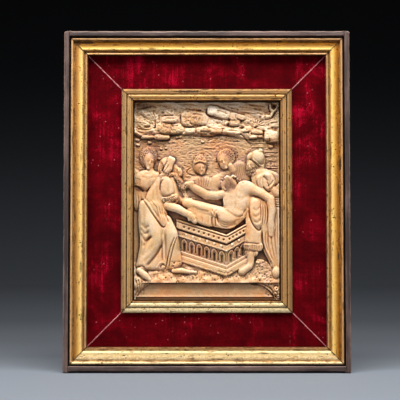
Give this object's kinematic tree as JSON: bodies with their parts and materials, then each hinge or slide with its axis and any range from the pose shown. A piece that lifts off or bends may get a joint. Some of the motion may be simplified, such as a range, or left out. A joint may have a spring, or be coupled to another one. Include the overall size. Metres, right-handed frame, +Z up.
{
  "type": "framed alabaster relief",
  "caption": "Small carved alabaster relief of a group round a tomb, set in a gilt moulding on crimson velvet inside an outer gilt moulding and a dark wooden box edge; it stands upright.",
  "frame": {"origin": "under the middle of the frame, at the height of the side boards' lower ends", "axes": "+Z up, the carved front faces -Y, +X to the right as seen from the front"},
  "size_m": [0.177, 0.03, 0.2112],
  "materials": {
    "box_wood": "dark stained, worn at the edges",
    "outer_gilding": "water gilding over red clay on wood, rubbed on the crests and dark in the hollows",
    "inner_gilding": "water gilding over red clay on wood, rubbed and spotted",
    "velvet": "crimson pile, rubbed in patches",
    "board_wood": "plain, aged",
    "alabaster": "waxed, honey coloured, with brown patina in the recesses"
  },
  "bodies": {
    "root": {"box_left": "box_wood", "box_right": "box_wood", "box_bottom": "box_wood", "box_top": "box_wood", "outer_gilt_rail_bottom": "outer_gilding", "outer_gilt_rail_right": "outer_gilding", "outer_gilt_rail_top": "outer_gilding", "outer_gilt_rail_left": "outer_gilding", "inner_gilt_rail_bottom": "inner_gilding", "inner_gilt_rail_right": "inner_gilding", "inner_gilt_rail_top": "inner_gilding", "inner_gilt_rail_left": "inner_gilding", "velvet_bottom": "velvet", "velvet_right": "velvet", "velvet_top": "velvet", "velvet_left": "velvet", "ground_board_bottom": "board_wood", "ground_board_right": "board_wood", "ground_board_top": "board_wood", "ground_board_left": "board_wood", "backboard": "board_wood", "alabaster_relief": "alabaster"}
  },
  "joints": []
}
